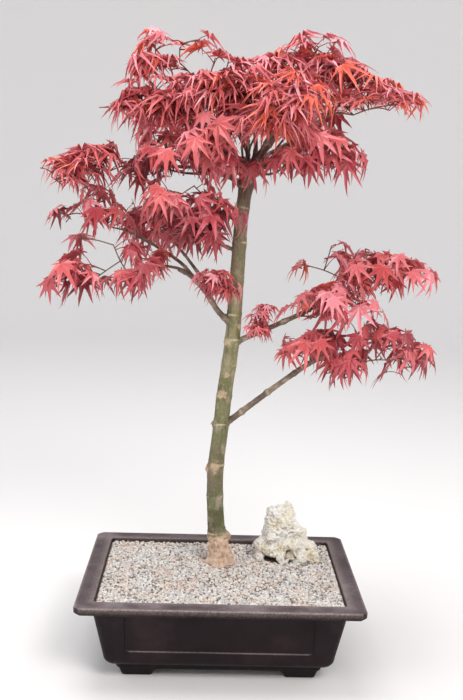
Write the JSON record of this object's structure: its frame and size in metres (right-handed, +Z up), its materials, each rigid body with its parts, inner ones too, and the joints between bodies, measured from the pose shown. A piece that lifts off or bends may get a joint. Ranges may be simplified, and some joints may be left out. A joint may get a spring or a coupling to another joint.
{
  "type": "japanese maple bonsai",
  "caption": "Red-leaved Japanese maple bonsai with a slender trunk and tiered boughs, in a dark brown rectangular footed pot filled with pale grit, beside a small pitted cream rock.",
  "frame": {"origin": "on the ground plane, below the centre of the whole plant's bounding box, at the height of the pot's feet", "axes": "+Z up along the trunk, +X to the right and -Y towards the viewer along the pot's long front wall"},
  "size_m": [0.5316, 0.3226, 0.814],
  "materials": {
    "pot_plastic": "dark brown moulded plastic with a faint sheen",
    "grit_stone": "loose pale grey and beige grit, dry",
    "rock_stone": "rough cream rock with pits",
    "trunk_bark": "grey-green smooth bark with pale rings and scars",
    "bough_bark": "dark purple-brown young bark",
    "leaf_red": "coral-red thin leaves with a soft sheen"
  },
  "bodies": {
    "root": {"bough_back": "bough_bark", "bough_back_left": "bough_bark", "bough_back_right": "bough_bark", "bough_drop": "bough_bark", "bough_front": "bough_bark", "bough_left_back": "bough_bark", "bough_left_far": "bough_bark", "bough_left_high": "bough_bark", "bough_left_inner": "bough_bark", "bough_left_low": "bough_bark", "bough_left_mid": "bough_bark", "bough_left_out": "bough_bark", "bough_right_front": "bough_bark", "bough_right_inner": "bough_bark", "bough_right_low": "bough_bark", "bough_right_mid": "bough_bark", "bough_top_inner": "bough_bark", "bough_top_left": "bough_bark", "bough_top_middle": "bough_bark", "bough_top_peak": "bough_bark", "bough_top_right": "bough_bark", "bough_top_tip": "bough_bark", "foliage_back": "leaf_red", "foliage_back_left": "leaf_red", "foliage_back_right": "leaf_red", "foliage_drop": "leaf_red", "foliage_front": "leaf_red", "foliage_left_back": "leaf_red", "foliage_left_far": "leaf_red", "foliage_left_high": "leaf_red", "foliage_left_inner": "leaf_red", "foliage_left_low": "leaf_red", "foliage_left_mid": "leaf_red", "foliage_left_out": "leaf_red", "foliage_right_front": "leaf_red", "foliage_right_inner": "leaf_red", "foliage_right_low": "leaf_red", "foliage_right_mid": "leaf_red", "foliage_top_inner": "leaf_red", "foliage_top_left": "leaf_red", "foliage_top_middle": "leaf_red", "foliage_top_peak": "leaf_red", "foliage_top_right": "leaf_red", "foliage_top_tip": "leaf_red", "grit": "grit_stone", "pot": "pot_plastic", "rock": "rock_stone", "trunk": "trunk_bark"}
  },
  "joints": []
}
